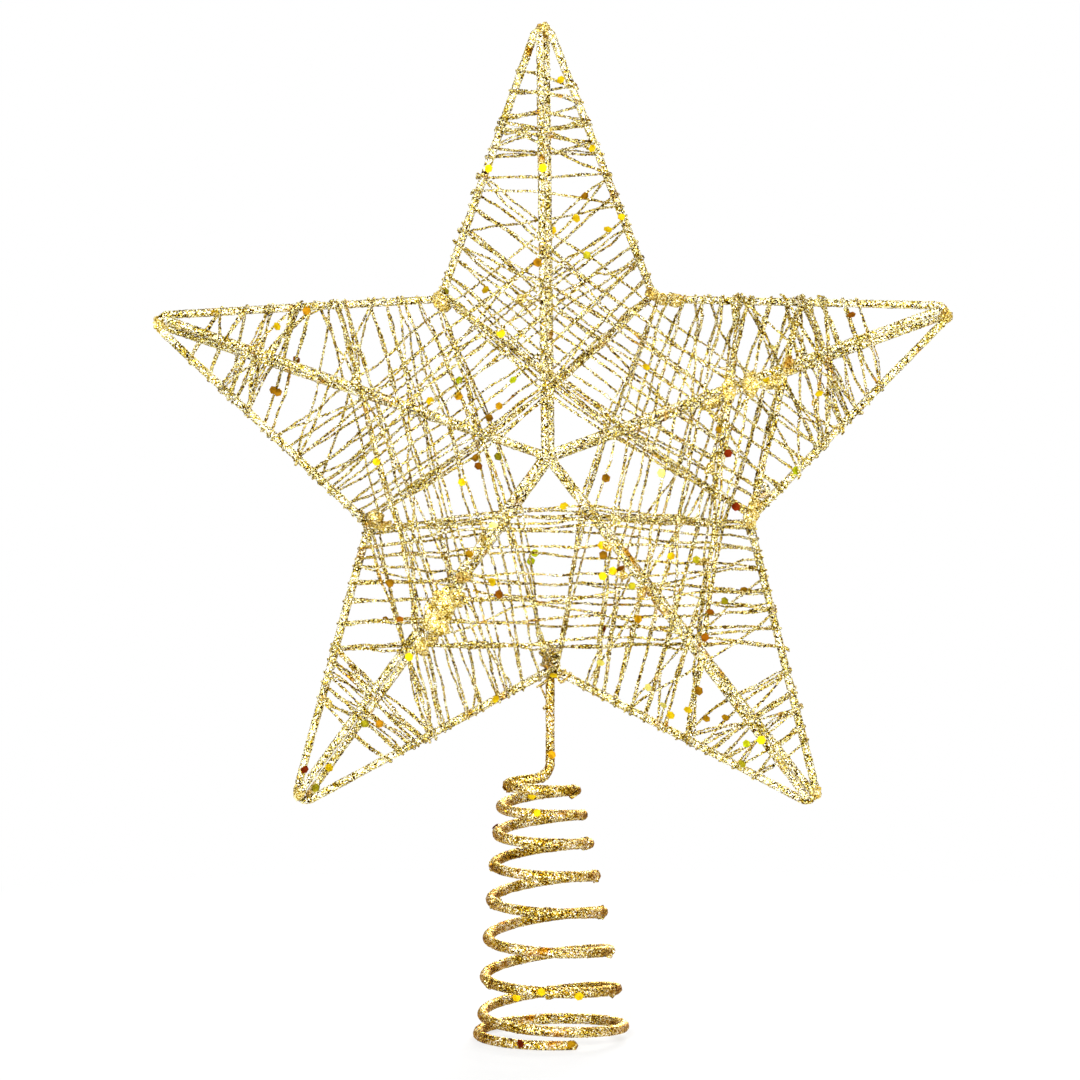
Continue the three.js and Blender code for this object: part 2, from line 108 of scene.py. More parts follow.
# The near edge by its valley and its point, how far along it the turns start, the same for the far
# edge, the loops and how far apart they lie
GATHERED = (
    ((0, 1), 20, (2, 2), 38, 2, 0.8), ((0, 1), 36, (1, 2), 0.6, 2, 0.7),
    ((2, 3), 34, (3, 4), 1, 1, 1.5), ((4, 4), 24, (2, 3), 30, 1, 2),
)
GATHERED_JITTER = 0.4
WANDER_NEAR = (12, 34, 20)
WANDER_FAR = (30, 10)
WANDER_JITTER = 3
LONGEST_CROSSING = 2.5  # half the length over which a thread rests on a wire that it crosses
BUNCH_LOOPS = (3, 2, 3, 2, 3)
BUNCH_FIRST = 0.4
BUNCH_FAR_FIRST = 0.7
BUNCH_SPREAD = 0.7
BUNCH_JITTER = 0.2
BUNCH_SHIFT_JITTER = 0.4
FULL_BUNCH = (2.2, 2.6, 4.6, 2, 2.4, 3)  # how far each half turn is bowed towards the middle
BUNCH_SHIFTS = (FULL_BUNCH, (1, 3.5, 6, 4.6), FULL_BUNCH, (1, 4, 2.6, 6), FULL_BUNCH)
THREAD_SUNK = 0.4  # into the outline's glitter, where a thread bends round it
MOST_PROUD = 1.45  # how far a thread's middle lies past the outline's before it is pressed in
PRESSED_BY = 0.8  # of what is past that
PRESSED_WITHIN = 6
TAIL = 3  # length of thread past its last bend
DENSE_WEBS = (1, 2)  # body windings that have a second strand
LASHING_LOOPS = 2
LASHING_ANGLE = 50
LASHING_FIRST = 1.8
LASHING_PITCH = 1.7

# Coil and stem
COIL_TURNS = 8.3
COIL_TOP_RADIUS = 8.6
COIL_FLARE = 1.28
COIL_PITCH = 9.8
COIL_TOP_PITCH = 5.3
COIL_CLOSE_TURNS = 4.5
COIL_SETTLE_TURNS = 1.1
COIL_FLAT_FROM = 8.12
COIL_LEAN = 3
FOOT_FLAT_DEPTH = 0.5
STEM_X = -0.6
STEM_HEIGHT = 29
STEM_ABOVE_VALLEY = 5
STEM_STRAIGHT_BELOW_VALLEY = 10
STEM_BEND_RADIUS = 4
KNEE_ABOVE_COIL = 1.7
COIL_START_BEND_RADIUS = 2.6

# Camera: pixels are those of a 1080 x 1080 picture
PICTURE = 1080
FOCAL_PIXELS = 3436
CAMERA = Vector((-3.16, -868, 148))
CAMERA_DOWN = math.radians(1.45)

# Meshes of wires; spacings are counted in rings
GRAIN_STEP = 0.32  # between rings
SHORT_LUMPS = 11
LONG_LUMPS = 75
PROUD_SHARE = 0.06  # of the grains
PROUD = 1.2  # how far those stand out more, in grains
END_SHARES = (0.5, 0.85)  # of the radius, at an end's last two rings
SMOOTHINGS = 5
SWAY_SPACING = 18
SWAY_FREE = 3  # distance from a bend at which a thread sways freely
DRIFT_SPACING = 56
DRIFT_FREE = 10
DEPTH_SHARE = 0.3  # of the sway and drift
SECOND_STRAND = 0.7  # thickness, as a share of the first strand's
ASIDE_SPACING = 35
ASIDE_FREE = 4
LOOSER_FROM = 30  # distance from the star's middle
LOOSER_OVER = 35
LEAST_LOOSE = 0.25
MOST_LOOSE = 1.2

rng = np.random.default_rng(7)
dice = random.Random(11)


def make_camera():
    data = bpy.data.cameras.new("camera")
    data.sensor_width = 36
    data.lens = 36 * FOCAL_PIXELS / PICTURE
    data.clip_end = 20
    camera = bpy.data.objects.new("camera", data)
    camera.location = CAMERA * MM
    camera.rotation_euler = (math.pi / 2 - CAMERA_DOWN, 0, 0)
    bpy.context.collection.objects.link(camera)
    bpy.context.scene.camera = camera


make_camera()
AHEAD = Vector((0, math.cos(CAMERA_DOWN), -math.sin(CAMERA_DOWN)))
UPWARD = Vector((0, math.sin(CAMERA_DOWN), math.cos(CAMERA_DOWN)))


def pixels_of(points):
    """Where points in millimetres show in the picture, and how far away they are."""
    from_camera = points - np.array(CAMERA)
    depth = from_camera @ np.array(AHEAD)
    x = PICTURE / 2 + FOCAL_PIXELS * from_camera[:, 0] / depth
    y = PICTURE / 2 - FOCAL_PIXELS * (from_camera @ np.array(UPWARD)) / depth
    return x, y, depth


# Paths

def bend_corners(corners, radii, closed=False, step=6):
    """Rounds the corners of a path with arcs, a facet for each step in degrees."""
    count = len(corners)
    points = []
    for i, corner in enumerate(corners):
        radius = radii[i]
        if (not closed and i in (0, count - 1)) or not radius:
            points.append(corner)
            continue
        before = (corners[i - 1] - corner).normalized()
        after = (corners[(i + 1) % count] - corner).normalized()
        half = before.angle(after) / 2
        turn = math.pi - 2 * half
        steps = max(1, round(turn / math.radians(step)))
        inward = (before + after).normalized()
        onward = (after - before).normalized()
        centre = corner + inward * radius / math.sin(half)
        for k in range(steps + 1):
            a = turn * (k / steps - 0.5)
            points.append(centre - inward * radius * math.cos(a) + onward * radius * math.sin(a))
    return points


def evenly(points, step, closed=False):
    """The path as an array of points at even steps."""
    points = np.array([tuple(p) for p in points], float)
    if closed:
        points = np.vstack([points, points[:1]])
    run = np.concatenate([[0], np.cumsum(np.linalg.norm(np.diff(points, axis=0), axis=1))])
    count = max(4, int(round(run[-1] / step)))
    count += count % 2
    at = np.linspace(0, run[-1], count + 1)
    path = np.stack([np.interp(at, run, points[:, k]) for k in range(3)], axis=1)
    return path[:-1] if closed else path


def smoothed(path, passes, closed=False):
    for _ in range(passes):
        if closed:
            path = (np.roll(path, 1, 0) + 2 * path + np.roll(path, -1, 0)) / 4
        else:
            path[1:-1] = (path[:-2] + 2 * path[1:-1] + path[2:]) / 4
    return path


def slow_noise(count, spacing, closed=False):
    """A smooth random run of numbers from -1 to 1, with a new value each `spacing` steps."""
    knots = max(4, int(count / spacing))
    values = rng.uniform(-1, 1, knots + 1)
    if closed:
        values[-1] = values[0]
    at = np.linspace(0, knots, count, endpoint=not closed)
    low = np.floor(at).astype(int)
    share = at - low
    share = share * share * (3 - 2 * share)
    high = np.minimum(low + 1, knots)
    return values[low] * (1 - share) + values[high] * share


# The star's corners, in its own plane

def polar(degrees, reach):
    a = math.radians(degrees)
    return Vector((reach * math.cos(a), reach * math.sin(a)))


tips = [polar(90 - 72 * i + t, TIP_REACH + e) for i, (t, e) in enumerate(zip(TIP_TURN, TIP_EXTRA))]
valleys = [
    polar(90 - 72 * (i + 0.5) + t, VALLEY_REACH + e)
    for i, (t, e) in enumerate(zip(VALLEY_TURN, VALLEY_EXTRA))
]


def tip(i):
    return tips[i % 5]


def valley(i):
    return valleys[i % 5]


def coil_rise(turn):
    left = max(0, COIL_FLAT_FROM - turn)
    settling = min(left, COIL_SETTLE_TURNS)
    closing = max(0, COIL_CLOSE_TURNS - turn)
    return COIL_PITCH * (left - settling + settling**2 / (2 * COIL_SETTLE_TURNS)) - (
        COIL_PITCH - COIL_TOP_PITCH
    ) * closing**2 / (2 * COIL_CLOSE_TURNS)


def coil_point(turn):
    rise = coil_rise(turn)
    t = min(max(rise / COIL_PITCH, 0), 1)
    lean = math.radians(COIL_LEAN) * t * t * (3 - 2 * t)
    a = 2 * math.pi * turn
    r = -COIL_TOP_RADIUS - COIL_FLARE * turn
    point = Vector((r * math.cos(a), r * math.sin(a), COIL / 2 - FOOT_FLAT_DEPTH + rise))
    return Matrix.Rotation(-lean, 3, "Y") @ point


STAR_HEIGHT = coil_point(0).z + STEM_HEIGHT - valley(BOTTOM).y


def lifted(place, lift, side=1):
    """A place in the star's plane, lifted towards the front (side 1) or the back (side -1)."""
    return Vector((place.x, -side * lift, place.y + STAR_HEIGHT))


# Threads drawn tight over the wires that they cross

def cross2(a, b):
    return a.x * b.y - a.y * b.x


def along(start, end, distance):
    return start + (end - start).normalized() * distance


def wire(start, start_lift, end, end_lift, radius, side=0):
    """A straight wire as threads meet it: side 1 lies in front, -1 behind, 0 is met by both."""
    return dict(start=start, start_lift=start_lift, end=end, end_lift=end_lift, radius=radius,
                side=side)


def bent_tip(i):
    """The middle of the outline's bend at a point."""
    to_left, to_right = ((valley(k) - tip(i)).normalized() for k in (i - 1, i))
    half = to_left.angle(to_right) / 2
    inward = (to_left + to_right).normalized()
    return tip(i) + inward * (BEND_RADIUS / math.sin(half) - BEND_RADIUS)


TIP_LIFT = (OUTLINE + RIDGE) / 2


def ridge_start(i, side):
    """The front and the back ridge lie side by side at a point, not one behind the other."""
    outward = bent_tip(i).normalized()
    aside = Vector((outward.y, -outward.x)) * (side * RIDGE_SPLIT[i])
    return bent_tip(i) - outward * RIDGE_SET_BACK + aside


ridge_lines = [
    wire(ridge_start(i, side), TIP_LIFT, APEXES[side], APEX_DEPTH, RIDGE / 2, side)
    for side in (1, -1) for i in range(5)
]
outline_lines = [
    wire(a, 0, b, 0, OUTLINE / 2 - THREAD_SUNK)
    for i in range(5) for a, b in ((valley(i - 1), tip(i)), (tip(i), valley(i)))
]
laid = []  # the straight pieces of all threads so far


def crossed(plan, side, wires):
    """What lies under a thread over the plan, as ellipses in its upright section."""
    reach = OUTLINE / 2
    travelled = 0
    found = []
    for k in range(len(plan) - 1):
        start, end = plan[k], plan[k + 1]
        length = (end - start).length
        ahead = (end - start).normalized()
        least = -reach if k == 0 else 0
        most = length + reach if k == len(plan) - 2 else length
        for w in wires:
            if w["side"] == -side:
                continue
            run = w["end"] - w["start"]
            turn = cross2(ahead, run)
            if not turn:
                continue
            gap = w["start"] - start
            at, share = cross2(gap, run) / turn, cross2(gap, ahead) / turn
            if not (least <= at <= most and 0 <= share <= 1):
                continue
            rise = (w["end_lift"] - w["start_lift"]) / run.length
            over = (w["radius"] + THREAD / 2) * math.hypot(1, rise)
            lift = w["start_lift"] + (w["end_lift"] - w["start_lift"]) * share
            across = min(over * run.length / abs(turn), LONGEST_CROSSING)
            found.append((travelled + at, lift, over, across))
        travelled += length
    return found


def tight_chain(ellipses):
    """The outer chain of a thread drawn tight over ellipses."""
    corners = sorted(
        (at + across * math.cos(a), lift + over * math.sin(a))
        for at, lift, over, across in ellipses
        for a in (math.pi * (2 * k + 1) / 16 for k in range(8))
    )
    chain = []
    for c in corners:
        while len(chain) > 1:
            a, b = chain[-2], chain[-1]
            bulge = (b[0] - a[0]) * (c[1] - a[1]) - (b[1] - a[1]) * (c[0] - a[0])
            if bulge <= -0.01 * math.hypot(c[0] - a[0], c[1] - a[1]):
                break
            chain.pop()
        chain.append(c)
    return chain


def place_on(plan, distance):
    k = 0
    while k < len(plan) - 2 and distance > (plan[k + 1] - plan[k]).length:
        distance -= (plan[k + 1] - plan[k]).length
        k += 1
    return along(plan[k], plan[k + 1], distance)


def strand(plan, side, wires):
    """Places and lifts of a thread drawn tight along a plan."""
    return [(place_on(plan, at), lift) for at, lift in tight_chain(crossed(plan, side, wires))]


def bowed(start, end, side, shift):
    """A plan from one place to another, bowed by a shift where it passes the ridges."""
    if not shift:
        return [start, end]
    run = end - start
    bends = []
    for ridge in ridge_lines:
        if ridge["side"] != side:
            continue
        ridge_run = ridge["end"] - ridge["start"]
        turn = cross2(run, ridge_run)
        gap = ridge["start"] - start
        share, on_ridge = cross2(gap, ridge_run) / turn, cross2(gap, run) / turn
        if 0 < share < 1 and 0 < on_ridge < 1:
            bends.append(share)
    return [start, *(start.lerp(end, share) + shift for share in sorted(bends)), end]


def shortened(corners):
    """The first of a thread's straight pieces, cut to the length of a tail."""
    (a, lift_a), (b, lift_b) = corners[:2]
    share = TAIL / math.hypot((b - a).length, lift_b - lift_a)
    return [(a, lift_a), (a.lerp(b, share), lift_a + (lift_b - lift_a) * share)]


def wind(near, far, wires, shift_of=lambda half_turns: None):
    """Winds a thread over the front from near[k] to far[k], and over the back on to near[k + 1]."""
    points = []

    def lay(start, end, side, shift=None, cut=lambda corners: corners):
        corners = cut(strand(bowed(start, end, side, shift), side, wires + laid))
        for (a, lift_a), (b, lift_b) in zip(corners, corners[1:]):
            laid.append(wire(a, lift_a, b, lift_b, THREAD / 2, side))
        points.extend(lifted(place, lift, side) for place, lift in corners)

    lay(far[0] + near[0] - near[1], near[0], -1, cut=lambda c: shortened(c[::-1])[::-1])
    for k, far_place in enumerate(far):
        lay(near[k], far_place, 1, shift_of(2 * k))
        lay(far_place, near[k + 1], -1, shift_of(2 * k + 1))
    lay(near[-1], far[-1] + near[-1] - near[-2], 1, cut=shortened)
    return points


def jitter(most):
    return dice.uniform(-most, most)


def strayed(place):
    """A place moved a little, along the edge or off it."""
    return place + Vector((jitter(1), jitter(1))) * STRAY


def uneven(seed):
    """How far a turn lies off its even place, in turns: the same in the part's source."""
    return UNEVENNESS * math.sin(2.4 * seed + 3 * math.sin(7.9 * seed))


def reach_past_valley(edge, other, between):
    """How far along an edge the turn starts that passes just inside the valley between."""
    inside = between - between.normalized() * BODY_LAST_TO_VALLEY
    chord = other[0] - edge[0]
    return cross2(inside - edge[0], chord) / cross2((edge[1] - edge[0]).normalized(), chord)


def body_winding(i):
    """The winding round the two points on either side of valley i."""
    near, far = (valley(i - 1), tip(i)), (valley(i + 1), tip(i + 1))
    near_end = reach_past_valley(near, far, valley(i))
    far_end = reach_past_valley(far, near, valley(i))
    lashing = LASHING_FIRST + LASHING_PITCH * LASHING_LOOPS
    far_first = BODY_FIRST + (lashing if i + 1 == BOTTOM else 0)

    def place(edge, first, end, step, seed):
        turns = min(step + uneven(seed), BODY_LOOPS) if step > 0 else 0
        return along(*edge, first + (end - first) * (turns / BODY_LOOPS) ** BODY_CROWDING)

    near_places = [
        strayed(place(near, BODY_FIRST, near_end, k, 9 * i + k)) for k in range(BODY_LOOPS + 1)
    ]
    far_places = [
        strayed(place(far, far_first, far_end, k + 0.5, 9 * i + k + 4.5)) for k in range(BODY_LOOPS)
    ]
    inward = -valley(i).normalized()

    def shift_of(half_turns):
        return inward * BODY_BOW * max(0, 1 - half_turns / (2 * BODY_BOWED_LOOPS))

    return wind(near_places, far_places, outline_lines + ridge_lines, shift_of)


def tip_winding(i):
    """The winding near point i."""
    first = TIP_FIRST[i]
    pitch = (TIP_LAST[i] - first) / TIP_LOOPS
    near = [
        along(tip(i), valley(i - 1), first + pitch * (k + uneven(5 * i + k + 50)))
        for k in range(TIP_LOOPS + 1)
    ]
    far = [
        along(tip(i), valley(i), first + pitch * (k + 0.5 + uneven(5 * i + k + 80)))
        for k in range(TIP_LOOPS)
    ]
    return wind(near, far, outline_lines + ridge_lines)


def loose_winding(i, near, far):
    """A thread that zigzags between the turns near a point and those round the body."""
    first = TIP_FIRST[i]
    near = [along(tip(i), valley(i - 1), first + jitter(LOOSE_JITTER) + d) for d in near]
    far = [along(tip(i), valley(i), first + jitter(LOOSE_JITTER) + d) for d in far]
    return wind(near, far, outline_lines + ridge_lines)


def gathered_winding(near_edge, near_reach, far_edge, far_reach, loops, spread):
    """Turns that lie close together between two edges."""
    near_line, far_line = ((valley(v), tip(t)) for v, t in (near_edge, far_edge))
    near = [along(*near_line, near_reach + spread * k + jitter(GATHERED_JITTER))
            for k in range(loops + 1)]
    far = [along(*far_line, far_reach + spread * (k + 0.5) + jitter(GATHERED_JITTER))
           for k in range(loops)]
    return wind(near, far, outline_lines + ridge_lines)


def wandering_winding(i):
    """Two turns laid anyhow over a body winding, slanting across it."""
    near = [along(valley(i - 1), tip(i), jitter(WANDER_JITTER) + d) for d in WANDER_NEAR]
    far = [along(valley(i + 1), tip(i + 1), jitter(WANDER_JITTER) + d) for d in WANDER_FAR]
    return wind(near, far, outline_lines + ridge_lines)


def valley_winding(i):
    """The first turns of a body winding, which lie bunched between two valleys."""
    loops = BUNCH_LOOPS[i]
    near = [along(valley(i - 1), tip(i), BUNCH_FIRST + BUNCH_SPREAD * k + jitter(BUNCH_JITTER))
            for k in range(loops + 1)]
    far = [
        along(valley(i + 1), tip(i + 1), BUNCH_FAR_FIRST + BUNCH_SPREAD * k + jitter(BUNCH_JITTER))
        for k in range(loops)
    ]
    inward = -valley(i).normalized()
    shifts = [inward * (d + jitter(BUNCH_SHIFT_JITTER)) for d in BUNCH_SHIFTS[i]]
    return wind(near, far, outline_lines + ridge_lines, lambda half_turns: shifts[half_turns])


# Stem and coil

STEM_LIFT = -(OUTLINE + COIL) / 2
stem_foot = Vector((STEM_X, valley(BOTTOM).y - STEM_STRAIGHT_BELOW_VALLEY))
stem_head = Vector((STEM_X, valley(BOTTOM).y + STEM_ABOVE_VALLEY))


def lashing():
    """The thread that ties the stem to the outline's leg, round the stem's front and back."""
    stems = [
        wire(stem_foot, side * STEM_LIFT, stem_head, side * STEM_LIFT, COIL / 2, side)
        for side in (1, -1)
    ]

    def on_leg(step):
        return along(valley(BOTTOM), tip(BOTTOM), LASHING_FIRST + LASHING_PITCH * step)

    def on_stem(step):
        leg = on_leg(step)
        return Vector((STEM_X, leg.y - (leg.x - STEM_X) * math.tan(math.radians(LASHING_ANGLE))))

    near = [on_stem(k) for k in range(LASHING_LOOPS + 1)]
    far = [on_leg(k + 0.5) for k in range(LASHING_LOOPS)]
    return wind(near, far, outline_lines + stems)


def coil_path():
    first = 1 / 12
    turns = [coil_point(first + (COIL_TURNS - first) * k / 900) for k in range(901)]
    start = coil_point(0)
    lead = bend_corners(
        [lifted(stem_head, STEM_LIFT), lifted(stem_foot, STEM_LIFT),
         Vector((STEM_X, 0, start.z + KNEE_ABOVE_COIL)), start, turns[0]],
        [0, STEM_BEND_RADIUS, STEM_BEND_RADIUS, COIL_START_BEND_RADIUS, 0],
    )
    return lead + turns[1:]


# Meshes

def add_mesh(name, vertices, faces, material):
    mesh = bpy.data.meshes.new(name)
    mesh.from_pydata([tuple(v) for v in np.asarray(vertices) * MM], [], faces)
    mesh.validate()
    mesh.materials.append(material)
    piece = bpy.data.objects.new(name, mesh)
    bpy.context.collection.objects.link(piece)
    return piece


def tube(path, radius, sides, grain, lump, closed, swell):
    """A wire rough with grains: rings set half a side apart, each point at its own distance."""
    count = len(path)
    if closed:
        heading = np.roll(path, -1, 0) - np.roll(path, 1, 0)
    else:
        heading = np.gradient(path, axis=0)
    heading /= np.linalg.norm(heading, axis=1)[:, None]
    normals = np.empty_like(path)
    normal = np.cross(heading[0], (0, 0, 1) if abs(heading[0][2]) < 0.9 else (1, 0, 0))
    for i in range(count):
        normal = normal - heading[i] * normal.dot(heading[i])
        normal /= math.sqrt(normal.dot(normal))
        normals[i] = normal
    binormals = np.cross(heading, normals)
    thick = radius * swell * (1 + lump * slow_noise(count, SHORT_LUMPS, closed)
                              + lump * slow_noise(count, LONG_LUMPS, closed))
    if not closed:
        ends = np.array(END_SHARES)
        thick[:2] *= ends
        thick[-2:] *= ends[::-1]
    half_step = 0.5 * (np.arange(count) % 2)[:, None]
    angle = 2 * math.pi * (np.arange(sides)[None, :] + half_step) / sides
    angle = angle + rng.uniform(-0.2, 0.2, (count, sides)) * 2 * math.pi / sides
    rough = grain * rng.uniform(-1, 1, (count, sides))
    proud = rng.random((count, sides)) < PROUD_SHARE
    rough[proud] += PROUD * grain
    out = thick[:, None] + rough
    slide = rng.uniform(-0.25, 0.25, (count, sides)) * GRAIN_STEP
    points = (
        path[:, None, :]
        + normals[:, None, :] * (out * np.cos(angle))[:, :, None]
        + binormals[:, None, :] * (out * np.sin(angle))[:, :, None]
        + heading[:, None, :] * slide[:, :, None]
    ).reshape(-1, 3)
    rows = count if closed else count - 1
    row = np.arange(rows)[:, None]
    k = np.arange(sides)[None, :]
    here, after = row * sides, ((row + 1) % count) * sides
    a, a1 = here + k, here + (k + 1) % sides
    b, b1 = after + k, after + (k + 1) % sides
    even = (row % 2 == 0) & (k >= 0)
    one = np.where(even[..., None], np.stack([a, a1, b], -1), np.stack([a, b1, b], -1))
    two = np.where(even[..., None], np.stack([a1, b1, b], -1), np.stack([a, a1, b1], -1))
    faces = np.concatenate([one.reshape(-1, 3), two.reshape(-1, 3)]).tolist()
    if not closed:
        tails = np.array([path[0] - heading[0] * radius / 3, path[-1] + heading[-1] * radius / 3])
        first, last, end = len(points), len(points) + 1, (count - 1) * sides
        points = np.vstack([points, tails])
        for k in range(sides):
            m = (k + 1) % sides
            faces.append((first, m, k))
            faces.append((last, end + k, end + m))
    return points, faces


def joined(shapes):
    """Several shapes as one list of points and one of faces."""
    points, faces = [], []
    for shape_points, shape_faces in shapes:
        faces += [tuple(k + len(points) for k in face) for face in shape_faces]
        points += [tuple(p) for p in shape_points]
    return points, faces


def to_turn(path):
    """How far each point of a thread is from where it bends round the outline or ends."""
    turns = np.flatnonzero(np.diff(np.sign(path[:, 1])))
    turns = np.concatenate([[0], turns, [len(path) - 1]])
    return np.abs(np.arange(len(path))[:, None] - turns[None, :]).min(axis=1) * GRAIN_STEP


wires_shown = []  # (path, radius, body) of each wire that trim may sit on


def beside(path, reach):
    """A path that wanders to either side of another, in the star's plane."""
    count = len(path)
    heading = np.gradient(path, axis=0)
    heading /= np.linalg.norm(heading, axis=1)[:, None]
    aside = np.cross(heading, (0, 1, 0))
    from_middle = np.hypot(path[:, 0], path[:, 2] - STAR_HEIGHT)
    looser = np.clip((from_middle - LOOSER_FROM) / LOOSER_OVER, LEAST_LOOSE, MOST_LOOSE)
    free = np.minimum(1, to_turn(path) / ASIDE_FREE)
    away = reach * looser * slow_noise(count, ASIDE_SPACING) * free
    return path + aside * away[:, None]


def show_wire(name, path, radius, sides, material, body="star", grain=0.11, lump=0.03,
              closed=False, swell=1, double=0, replaced=None):
    """Adds a wire's mesh, with a second strand where double says how far aside that may lie."""
    points, faces = tube(path, radius - grain, sides, grain, lump, closed, swell)
    if double:
        second = tube(beside(path, double), SECOND_STRAND * (radius - grain), sides, grain, lump,
                      closed, swell)
        points, faces = joined([(points, faces), second])
        points = np.array(points)
    if body == "coil":
        points[:, 2] = np.maximum(points[:, 2], 0)
    piece = add_mesh(name, points, faces, material)
    wires_shown.append((path, radius, body))
    settle(piece, body)
    if replaced:
        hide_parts(replaced)


def settle(piece, body):
    """The coil stretches between the base and the star, and the rest rides on the star."""
    if body == "coil":
        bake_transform(piece)
    else:
        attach(piece, "star")


# Materials

def linear(colour):
    return [c / 12.92 if c <= 0.04045 else ((c + 0.055) / 1.055) ** 2.4 for c in colour]


def from_hex(text):
    return (*linear([int(text[k:k + 2], 16) / 255 for k in (0, 2, 4)]), 1)


class Nodes:
    """A short way to write a material's nodes."""

    def __init__(self, name):
        self.material = bpy.data.materials.new(name)
        self.material.use_nodes = True
        self.tree = self.material.node_tree
        self.shader = self.tree.nodes["Principled BSDF"]

    def add(self, kind, inputs=(), **settings):
        node = self.tree.nodes.new("ShaderNode" + kind)
        for key, value in settings.items():
            setattr(node, key, value)
        for key, value in dict(inputs).items():
            if isinstance(value, bpy.types.NodeSocket):
                self.tree.links.new(value, node.inputs[key])
            else:
                node.inputs[key].default_value = value
        return node

    def link(self, output, socket):
        self.tree.links.new(output, self.shader.inputs[socket])

    def ramp(self, value, stops, interpolation="CONSTANT"):
        node = self.add("ValToRGB", {"Fac": value})
        node.color_ramp.interpolation = interpolation
        elements = node.color_ramp.elements
        while len(elements) < len(stops):
            elements.new(1)
        for element, (at, colour) in zip(elements, stops):
            element.position = at
            element.color = from_hex(colour)
        return node.outputs["Color"]


GLUE_SPOT = 6
GLUE_COLOUR = "CCA044"
GLUE_EDGE = 0.1
GLOSS = 0.12
GLOSS_TINT = "F0C850"
LEAST_ROUGH = 0.22
MOST_ROUGH = 0.55
FLAKE_TILT = 0.4
SIDE_SHADE_FROM = 0.45  # how much a face turns to the side where the coil's painted shade starts to show
SIDE_SHADE_TO = 0.95
STEM_SIDE_SHADE = 0.3  # how much of that painted shade the stem has
STEM_SIDE_SHADE_OVER = 8


def glitter(name, stops, flake=0.27, patch=5.0, patch_strength=0.35, glue=0.6, metallic=0.5,
            sides=0, glue_and_shade_colour=GLUE_COLOUR):
    """Flakes as cells, each with its own colour, gloss and slant, in lighter and darker patches.
    Glue shows in spots; where sides is given, faces that look to the side also get the glue colour
    as painted shade."""
    n = Nodes(name)
    place = n.add("TexCoord").outputs["Object"]
    cells = n.add("TexVoronoi", {"Vector": place, "Scale": 1 / (flake * MM), "Randomness": 1})
    parts = n.add("SeparateColor", {"Color": cells.outputs["Color"]}).outputs
    patches = n.add("TexNoise", {"Vector": place, "Scale": 1 / (patch * MM), "Detail": 2})
    centred = n.add("Math", {0: patches.outputs["Fac"], 1: 0.5}, operation="SUBTRACT")
    pick = n.add(
        "Math", {0: centred.outputs[0], 1: patch_strength * 2, 2: parts["Red"]},
        operation="MULTIPLY_ADD", use_clamp=True,
    )
    colour = n.ramp(pick.outputs[0], stops)
    spots = n.add("TexNoise", {"Vector": place, "Scale": 1 / (GLUE_SPOT * MM), "Detail": 3})
    brown = n.add("MapRange", {
        "Value": spots.outputs["Fac"], "From Min": glue, "From Max": glue + GLUE_EDGE})
    normal = n.add("NewGeometry").outputs["Normal"]
    glue_and_shade = brown.outputs["Result"]
    # Painted shade: faces turned to the side darken to the glue colour, which browns the coil's
    # bends and the stem's edges.
    if sides:
        sideways = n.add("SeparateXYZ", {0: normal}).outputs["X"]
        across = n.add("Math", {0: sideways}, operation="ABSOLUTE")
        height = n.add("SeparateXYZ", {0: place}).outputs["Z"]
        side_shade_below_stem = n.add("MapRange", {
            "Value": height, "From Min": STEM_SLIMS_FROM * MM,
            "From Max": (STEM_SLIMS_FROM + STEM_SIDE_SHADE_OVER) * MM,
            "To Min": sides, "To Max": STEM_SIDE_SHADE * sides})
        painted_side_shade = n.add("MapRange", {
            "Value": across.outputs[0], "From Min": SIDE_SHADE_FROM, "From Max": SIDE_SHADE_TO,
            "To Max": side_shade_below_stem.outputs["Result"]})
        more = n.add("Math", {0: glue_and_shade, 1: painted_side_shade.outputs["Result"]}, operation="MAXIMUM")
        glue_and_shade = more.outputs[0]
    glued_and_shaded = n.add("Mix", {0: glue_and_shade, 6: colour, 7: from_hex(glue_and_shade_colour)},
                    data_type="RGBA", blend_type="MULTIPLY")
    n.link(glued_and_shaded.outputs[2], "Base Color")
    rough = n.add("MapRange", {
        "Value": parts["Green"], "To Min": LEAST_ROUGH, "To Max": MOST_ROUGH})
    n.link(rough.outputs["Result"], "Roughness")
    n.shader.inputs["Metallic"].default_value = metallic
    n.shader.inputs["Specular IOR Level"].default_value = GLOSS
    n.shader.inputs["Specular Tint"].default_value = from_hex(GLOSS_TINT)
    away = n.add("VectorMath", {0: cells.outputs["Color"], 1: (0.5, 0.5, 0.5)},
                 operation="SUBTRACT")
    slant = n.add("VectorMath", {0: away.outputs[0], 1: [FLAKE_TILT] * 3}, operation="MULTIPLY")
    turned = n.add("VectorMath", {0: normal, 1: slant.outputs[0]}, operation="ADD")
    unit = n.add("VectorMath", {0: turned.outputs[0]}, operation="NORMALIZE")
    n.link(unit.outputs[0], "Normal")
    return n.material


FOIL_CLOUD = 1.3
FOIL_METALLIC = 0.5
FOIL_GLOSS = 0.06


def foil(name, colour, deep):
    """A sequin's film: clouded a little, darker in patches."""
    n = Nodes(name)
    place = n.add("TexCoord").outputs["Object"]
    cloud = n.add("TexNoise", {"Vector": place, "Scale": 1 / (FOIL_CLOUD * MM), "Detail": 2})
    n.link(n.ramp(cloud.outputs["Fac"], [(0.35, deep), (0.6, colour)], "LINEAR"), "Base Color")
    rough = n.add("MapRange", {"Value": cloud.outputs["Fac"], "To Min": 0.4, "To Max": 0.55})
    n.link(rough.outputs["Result"], "Roughness")
    n.shader.inputs["Metallic"].default_value = FOIL_METALLIC
    n.shader.inputs["Specular IOR Level"].default_value = FOIL_GLOSS
    n.shader.inputs["Specular Tint"].default_value = from_hex(GLOSS_TINT)
    return n.material
